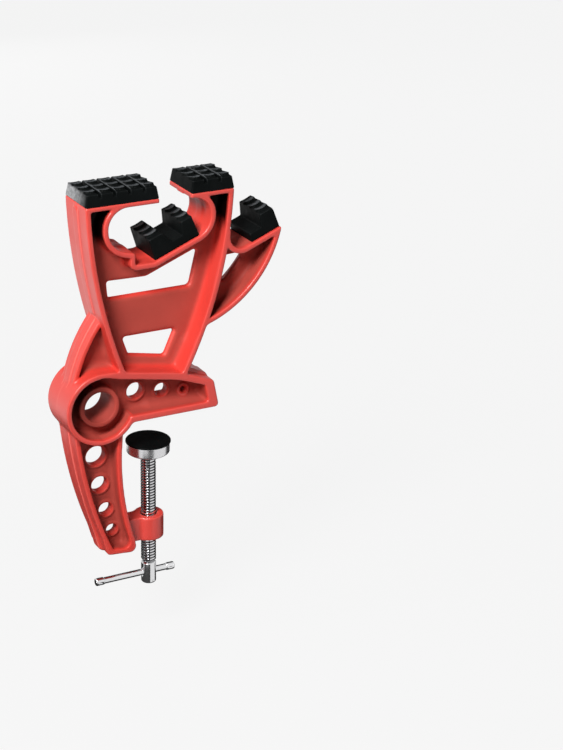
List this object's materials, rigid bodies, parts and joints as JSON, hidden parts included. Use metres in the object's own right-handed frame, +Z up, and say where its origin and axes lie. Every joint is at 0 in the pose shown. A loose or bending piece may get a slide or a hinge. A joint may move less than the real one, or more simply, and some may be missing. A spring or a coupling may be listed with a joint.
{
  "type": "ski tuning vise",
  "caption": "Screw clamp with a moulded stand that grips a bench edge and holds a ski flat on rubber-studded decks or on edge in two sloping padded cradles",
  "frame": {"origin": "on the flat underside of the base arm, which rests on the bench, straight above the axis of the clamp screw", "axes": "+X from the hub towards the bench along the base arm, -Y out of the face seen in the picture, +Z up, out of the bench"},
  "size_m": [0.1488, 0.0324, 0.279],
  "materials": {
    "frame_plastic": "smooth moulded red plastic with a soft sheen",
    "pad_rubber": "moulded black rubber, studded on top",
    "bush_steel": "turned steel, bright",
    "screw_steel": "bright plated steel",
    "cap_rubber": "smooth black rubber"
  },
  "bodies": {
    "frame": {"frame": "frame_plastic", "left_top_pad": "pad_rubber", "right_top_pad": "pad_rubber", "inner_cradle_pad": "pad_rubber", "outer_cradle_pad": "pad_rubber", "thread_bush": "bush_steel"},
    "foot": {"foot_disc": "screw_steel", "rivet_washer": "bush_steel", "foot_cap": "cap_rubber"},
    "screw": {"clamp_screw": "screw_steel"},
    "bar": {"tommy_bar": "screw_steel"}
  },
  "joints": [
    {"name": "clamp_travel", "type": "slide", "parent": "frame", "child": "foot", "axis": [0, 0, 1], "range_m": [-0.044, 0.0212]},
    {"name": "screw_turn", "type": "hinge", "parent": "foot", "child": "screw", "pos_m": [0, 0, -0.1], "axis": [0, 0, 1], "range_deg": [-7922, 3819]},
    {"name": "bar_slide", "type": "slide", "parent": "screw", "child": "bar", "axis": [1, 0, 0], "range_m": [-0.007, 0.027]}
  ],
  "couplings": [
    {"joint": "screw_turn", "follows": "clamp_travel", "rad_per_m": 3141.6}
  ]
}
